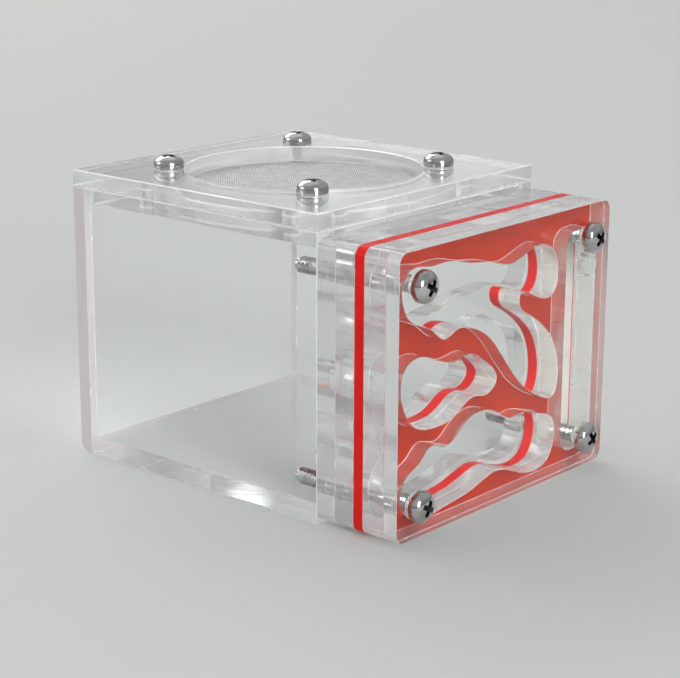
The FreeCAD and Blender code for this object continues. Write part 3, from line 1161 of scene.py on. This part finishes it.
@dataclass
class VentMesh:
    """The plain woven disc between the lid plates, as its warp and its weft."""

    node: str
    steel: bpy.types.Material
    pitch: float = 0.3 * MM
    wire: float = 0.13 * MM
    wire_sides: int = 4

    def recipe(self) -> GeometryRecipe:
        """Build the tree for one direction of wires.

        Returns:
            The finished tree.
        """
        inputs = {
            "Disc Radius": (NUMBER, 24 * MM),
            "Pitch": (NUMBER, 0.5 * MM),
            "Wires": (WHOLE, 97),
            "Wire Radius": (NUMBER, 0.07 * MM),
            "Phase": (NUMBER, 0.0),
        }
        made = GeometryRecipe("woven_wires", inputs)
        board, given = made.board, made.given
        pitch, wires = given["Pitch"], given["Wires"]
        span = board.math("MULTIPLY", board.math("SUBTRACT", wires, 1.0), pitch)
        sizes = {"Size X": span, "Size Y": span, "Vertices X": wires, "Vertices Y": wires}
        grid = board.place("GeometryNodeMeshGrid", sizes).outputs[0]
        ends = board.place("GeometryNodeInputMeshEdgeVertices").outputs
        reach = board.parts(board.vector("SUBTRACT", ends["Position 1"], ends["Position 2"]))
        is_cross = board.math("GREATER_THAN", board.math("ABSOLUTE", reach[1]), MERGE)
        rows = board.place(
            "GeometryNodeDeleteGeometry",
            {0: grid, "Selection": is_cross},
            domain="EDGE",
            mode="EDGE_FACE",
        )
        place = board.place("GeometryNodeInputPosition").outputs[0]
        outside = board.math("GREATER_THAN", board.measure("LENGTH", place), given["Disc Radius"])
        disc = board.place(
            "GeometryNodeDeleteGeometry", {0: rows.outputs[0], "Selection": outside}
        )
        lines = board.place("GeometryNodeMeshToCurve", {0: disc.outputs[0]}).outputs[0]
        cell = board.parts(place)
        steps = [board.math("ROUND", board.math("DIVIDE", cell[i], pitch)) for i in (0, 1)]
        count = board.math("ADD", board.math("ADD", *steps), given["Phase"])
        odd = board.math("FLOORED_MODULO", count, 2.0)
        side = board.math("SUBTRACT", board.math("MULTIPLY", odd, 2.0), 1.0)
        rise = board.combine(z=board.math("MULTIPLY", side, given["Wire Radius"]))
        woven = board.place("GeometryNodeSetPosition", {0: lines, "Offset": rise}).outputs[0]
        made.finish(made.sweep(woven, made.ring(given["Wire Radius"], self.wire_sides)))
        return made

    def build(self) -> None:
        """Weave the disc."""
        low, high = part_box(self.node)
        radius = (high.x - low.x) / 2 - self.wire
        recipe = self.recipe()
        for way, phase, turn in (("warp", 0.0, 0.0), ("weft", 1.0, math.pi / 2)):
            name = f"vent_mesh_{way}"
            values = {
                "Disc Radius": radius,
                "Pitch": self.pitch,
                "Wires": 2 * int(radius / self.pitch) + 1,
                "Wire Radius": self.wire / 2,
                "Phase": phase,
                "Middle": (low + high) / 2,
                "Turn": (0.0, 0.0, turn),
                "Material": self.steel,
            }
            piece = recipe.run(name, bpy.data.meshes.new(f"{name}_carrier"), values)
            settle(piece, Body.LID, [self.node])


# ---------------------------------------------------------------------------------------------
# Sub-assemblies


@dataclass
class ClearBox:
    """The box: its left wall, and the floor, front and back welded into one trough."""

    palette: Palette
    nodes: tuple[str, ...] = ("box_floor", "box_left_wall", "box_front_wall", "box_back_wall")
    coats: tuple[Finish, ...] = (
        Finish.CLEAR,
        Finish.CUT_X,
        Finish.CUT_Y,
        Finish.SANDED,
        Finish.GLOSSY_CUT,
        Finish.ARRIS,
    )
    joint_gap: float = 0.03 * MM
    arris: float = 0.12 * MM
    corner: float = 2.0 * MM
    corner_steps: int = 8
    rim_degrees: float = 30.0
    sharp_degrees: float = 20.0

    def wall_planes(self) -> tuple[list[float], list[float], list[float]]:
        """Read where the left wall begins and ends.

        Returns:
            The places along X, Y and Z, with those of the plates that meet it.
        """
        low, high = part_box("box_left_wall")
        front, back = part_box("box_front_wall"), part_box("box_back_wall")
        deep = [front[0].y, front[1].y, back[0].y, back[1].y]
        return [low.x, high.x], deep, [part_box("box_floor")[0].z, low.z, high.z]

    def trough_planes(self) -> tuple[list[float], list[float], list[float]]:
        """Read where the trough's plates begin and end.

        Returns:
            The places along X, Y and Z.
        """
        (_, inside), deep, up = self.wall_planes()
        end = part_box("box_floor")[1].x - self.joint_gap / 2
        return [inside + self.joint_gap, end], deep, up

    @staticmethod
    def wall_finish(axis: Axis, way: int, _: int) -> Finish:
        """Choose the finish of one of the left wall's sides."""
        top = Finish.CUT_Y if way > 0 else Finish.CLEAR
        return {Axis.X: Finish.CLEAR, Axis.Y: Finish.SANDED, Axis.Z: top}[axis]

    @staticmethod
    def trough_finish(axis: Axis, way: int, level: int) -> Finish:
        """Choose the finish of one of the trough's sides.

        Args:
            axis: The direction that the side faces.
            way: 1 or -1, for up or down that axis.
            level: 0 in the floor, 1 above it.

        Returns:
            The finish.
        """
        if axis is Axis.X:
            return Finish.SANDED if way < 0 else Finish.CUT_X
        if axis is Axis.Y:
            return Finish.CLEAR if level else Finish.GLOSSY_CUT
        return Finish.CUT_Y if way > 0 and level else Finish.CLEAR

    def add_cells(
        self, made: bmesh.types.BMesh, planes: tuple, cells: set[tuple[int, int]], choose: Callable
    ) -> None:
        """Add the outer sides of a row of filled cells.

        Args:
            made: The mesh that gets the sides.
            planes: The places between the cells, along X, Y and Z.
            cells: The filled cells, by their numbers along Y and Z.
            choose: Chooses a side's finish from its axis, its way and its level.
        """
        for deep, level in sorted(cells):
            cell = (0, deep, level)
            for axis in Axis:
                for way in (-1, 1):
                    beside = [n + way * (a == axis) for a, n in enumerate(cell)]
                    if beside[0] == 0 and tuple(beside[1:]) in cells:
                        continue
                    corners = []
                    for steps in ((0, 0), (1, 0), (1, 1), (0, 1)):
                        index = list(cell)
                        index[axis] += (way + 1) // 2
                        index[(axis + 1) % 3] += steps[0]
                        index[(axis + 2) % 3] += steps[1]
                        corners.append(made.verts.new([planes[a][index[a]] for a in Axis]))
                    face = made.faces.new(corners if way > 0 else corners[::-1])
                    face.material_index = self.coats.index(choose(axis, way, level))

    def is_corner(self, edge: bmesh.types.BMEdge) -> bool:
        """Tell whether an edge is the left wall's lower outer one."""
        (left, _), _, (low, _, _) = self.wall_planes()
        return all(abs(v.co.x - left) + abs(v.co.z - low) < MERGE for v in edge.verts)

    def is_rim(self, edge: bmesh.types.BMEdge) -> bool:
        """Tell whether an edge stands out enough to be broken."""
        return edge.is_convex and edge.calc_face_angle(0.0) > math.radians(self.rim_degrees)

    def build(self) -> None:
        """Make the wall and the trough, round the wall's lower corner and break the edges."""
        made = bmesh.new()
        every = {(deep, level) for deep in range(3) for level in range(2)}
        hollow = {(1, 1)}
        self.add_cells(made, self.wall_planes(), every, self.wall_finish)
        self.add_cells(made, self.trough_planes(), every - hollow, self.trough_finish)
        bmesh.ops.remove_doubles(made, verts=made.verts, dist=MERGE)
        for is_picked, size, steps, finish in (
            (self.is_corner, self.corner, self.corner_steps, Finish.CLEAR),
            (self.is_rim, self.arris, 1, Finish.ARRIS),
        ):
            bmesh.ops.bevel(
                made,
                geom=[edge for edge in made.edges if is_picked(edge)],
                offset=size,
                segments=steps,
                affect="EDGES",
                profile=0.5,
                material=self.coats.index(finish),
            )
        mesh = keep_mesh("clear_box_shell", made, [self.palette[coat] for coat in self.coats])
        soften(mesh, self.sharp_degrees)
        settle(new_piece("clear_box_shell", mesh), Body.BOX, self.nodes)


@dataclass
class Nest:
    """The five nest sheets and the four long screws through them."""

    palette: Palette
    strip_gap: float = 0.1 * MM

    def build(self) -> None:
        """Cut the sheets, lay the strip in the water slot and set the screws."""
        palette = self.palette
        for part, inward, outward in (
            ("end_wall", Finish.CLEAR, Finish.INNER),
            ("rear_sheet", Finish.INNER, Finish.INNER),
            ("chamber_sheet", Finish.PRESSED, Finish.PRESSED),
            ("cover_sheet", Finish.INNER, Finish.CLEAR),
        ):
            has_slot = part == "chamber_sheet"
            others = {
                SheetPart.LOW_FACE: inward,
                SheetPart.OPENING: Finish.GALLERY,
                SheetPart.ARRIS: Finish.ARRIS,
                SheetPart.SLOT: Finish.SLOT_CUT if has_slot else Finish.GALLERY,
            }
            coat = palette.coat(outward, Finish.CUT_X, others)
            where = (f"nest_clear_{part}", f"nest_{part}", Axis.X, Body.BOX)
            CutSheet(*where, coat, has_slot_finish=has_slot).build()
        coat = palette.coat(Finish.RED_FACE, Finish.RED_CUT)
        where = ("nest_red_middle_sheet", "nest_red_sheet", Axis.X, Body.BOX)
        CutSheet(*where, coat, Slot.RED).build()
        corners = ("bottom_front", "bottom_back", "top_back", "top_front")
        names = tuple(f"nest_screw_{corner}" for corner in corners)
        coat = palette.coat(Finish.FROSTED, Finish.FROSTED)
        where = ("nest_frosted_strip", "nest_red_sheet", Axis.X, Body.BOX)
        SlotStrip(*where, coat, side_gap=self.strip_gap).lay(names[1:3])
        steel = palette[Finish.SCREW]
        ScrewSet("nest_screws", names, Axis.X, Body.BOX, steel, seed=4).build()


@dataclass
class Lid:
    """The two lid plates, the mesh between them and the four short screws."""

    palette: Palette
    arris: float = 0.2 * MM

    def build(self) -> None:
        """Cut the plates, weave the mesh and set the screws."""
        palette = self.palette
        others = {
            SheetPart.OPENING: Finish.VENT_CUT,
            SheetPart.ARRIS: Finish.LID_ARRIS,
            SheetPart.SLOT: Finish.VENT_CUT,
        }
        coat = palette.coat(Finish.CLEAR, Finish.CUT_Z, others)
        for part in ("top_plate", "inner_plate"):
            where = (f"lid_clear_{part}", f"lid_{part}", Axis.Z, Body.LID)
            CutSheet(*where, coat, arris=self.arris).build()
        VentMesh("vent_mesh", palette[Finish.WIRE]).build()
        corners = ("front_left", "front_right", "back_right", "back_left")
        names = tuple(f"lid_screw_{corner}" for corner in corners)
        steel = palette[Finish.SCREW]
        ScrewSet("lid_screws", names, Axis.Z, Body.LID, steel, seed=9).build()


# ---------------------------------------------------------------------------------------------
# Studio


@dataclass(frozen=True)
class SoftBox:
    """A soft box over the habitat: its place and size in metres, and its power in watts."""

    name: str
    place: Point
    aim_height: float
    size: tuple[float, float]
    power: float

    def hang(self) -> None:
        """Hang the soft box so that it looks at the habitat."""
        lamp = bpy.data.lights.new(self.name, "AREA")
        lamp.shape = "RECTANGLE"
        lamp.size, lamp.size_y = self.size
        lamp.energy = self.power
        holder = bpy.data.objects.new(self.name, lamp)
        bpy.context.scene.collection.objects.link(holder)
        holder.location = self.place
        toward = Vector((0.0, 0.0, self.aim_height)) - Vector(self.place)
        holder.rotation_euler = toward.to_track_quat("-Z", "Y").to_euler()


@dataclass(frozen=True)
class SkyGlow:
    """A brighter spot in the sky, between the cosines of its rim and its core."""

    toward: Point
    rim: float
    core: float
    strength: float

    def add_to(self, board: Board, direction: object, strength: object) -> bpy.types.NodeSocket:
        """Add the spot to the sky's strength."""
        near = board.measure("DOT_PRODUCT", direction, self.toward)
        glow = board.ramp(near, self.rim, self.core, 0.0, self.strength, curve="SMOOTHSTEP")
        return board.math("ADD", strength, glow)


@dataclass
class Studio:
    """The pale floor, the soft light and the camera."""

    floor_size: float = 8.0
    floor_drop: float = 0.02 * MM
    floor_tone: Colour = (210, 212, 210)
    floor_grain: float = 300.0
    floor_roughness: tuple[float, float] = (0.75, 0.9)
    floor_sheen: float = 0.2
    sky_tone: Colour = (250, 251, 252)
    sky_low: tuple[float, float] = (0.16, 0.3)
    sky_high: tuple[float, float] = (0.36, 0.5)
    glows: tuple[SkyGlow, ...] = (
        SkyGlow((-0.590, 0.782, 0.2), 0.98, 1.0, 0.4),
        SkyGlow((-0.64579, 0.67908, 0.34901), 0.99991, 0.999995, 0.9),
    )
    lamps: tuple[SoftBox, ...] = (
        SoftBox("soft_box_above", (-1.0, 0.3, 2.2), 0.02, (2.8, 2.3), 7.0),
        SoftBox("soft_box_high_left", (-1.9, 0.5, 1.3), 0.03, (2.0, 1.3), 16.0),
        SoftBox("soft_box_left", (-1.7, -1.7, 1.0), 0.03, (1.5, 1.4), 9.0),
        SoftBox("soft_box_right", (2.0, -0.8, 0.8), 0.03, (0.7, 1.1), 28.0),
    )
    camera_place: Point = (0.22156, -0.25935, 0.11761)
    azimuth: float = 40.646
    elevation: float = 15.544
    roll: float = 0.258
    lens: float = 102.0
    sensor: float = 36.0
    nearest: float = 0.01
    bounces: int = 32

    def lay_floor(self) -> None:
        """Lay the plain pale floor under the habitat."""
        half = self.floor_size / 2
        mesh = bpy.data.meshes.new("studio_floor")
        corners = [(-half, -half, 0), (half, -half, 0), (half, half, 0), (-half, half, 0)]
        mesh.from_pydata(corners, [], [(0, 1, 2, 3)])
        material, board = new_material("studio_paper")
        grain = board.noise(board.here(), self.floor_grain)
        wires = {
            "Base Color": linear(*self.floor_tone),
            "Roughness": board.ramp(grain, 0.0, 1.0, *self.floor_roughness),
            "Specular IOR Level": self.floor_sheen,
        }
        dress(board, wires)
        mesh.materials.append(material)
        floor = new_piece("studio_floor", mesh)
        floor.location.z = -self.floor_drop

    def light_sky(self) -> None:
        """Set the soft light all round, brighter above and at two glows low behind."""
        world = bpy.data.worlds.new("studio_sky")
        bpy.context.scene.world = world
        world.use_nodes = True
        world.node_tree.nodes.clear()
        board = Board(world.node_tree)
        direction = board.place("ShaderNodeTexCoord").outputs["Generated"]
        (low, dim), (high, bright) = self.sky_low, self.sky_high
        strength = board.ramp(board.parts(direction)[2], low, high, dim, bright)
        for glow in self.glows:
            strength = glow.add_to(board, direction, strength)
        wires = {"Color": linear(*self.sky_tone), "Strength": strength}
        light = board.place("ShaderNodeBackground", wires)
        board.place("ShaderNodeOutputWorld", {"Surface": light.outputs[0]})

    def set_camera(self) -> None:
        """Stand the camera at the viewing angle."""
        turn, rise, roll = (math.radians(a) for a in (self.azimuth, self.elevation, self.roll))
        out = math.cos(rise)
        back = Vector((math.sin(turn) * out, -math.cos(turn) * out, math.sin(rise)))
        level = Vector((math.cos(turn), math.sin(turn), 0.0))
        upright = back.cross(level)
        right = level * math.cos(roll) + upright * math.sin(roll)
        up = upright * math.cos(roll) - level * math.sin(roll)
        camera = bpy.data.cameras.new("view_camera")
        camera.lens = self.lens
        camera.sensor_width = self.sensor
        camera.clip_start = self.nearest
        holder = bpy.data.objects.new("view_camera", camera)
        bpy.context.scene.collection.objects.link(holder)
        turned = Matrix((right, up, back)).transposed().to_4x4()
        holder.matrix_world = Matrix.Translation(self.camera_place) @ turned
        bpy.context.scene.camera = holder

    def build(self) -> None:
        """Set up the whole studio."""
        scene = bpy.context.scene
        scene.view_settings.view_transform = "Standard"
        scene.cycles.max_bounces = self.bounces
        scene.cycles.transmission_bounces = self.bounces
        scene.cycles.transparent_max_bounces = self.bounces
        scene.cycles.glossy_bounces = self.bounces
        self.lay_floor()
        self.light_sky()
        for lamp in self.lamps:
            lamp.hang()
        self.set_camera()


def main() -> None:
    """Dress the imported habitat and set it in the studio."""
    logging.basicConfig(level=logging.INFO, format="%(name)s: %(message)s")
    for lone in list(bpy.data.objects):
        bpy.data.objects.remove(lone)
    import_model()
    palette = Palette()
    ClearBox(palette).build()
    Nest(palette).build()
    Lid(palette).build()
    Studio().build()


if __name__ == "__main__":
    main()
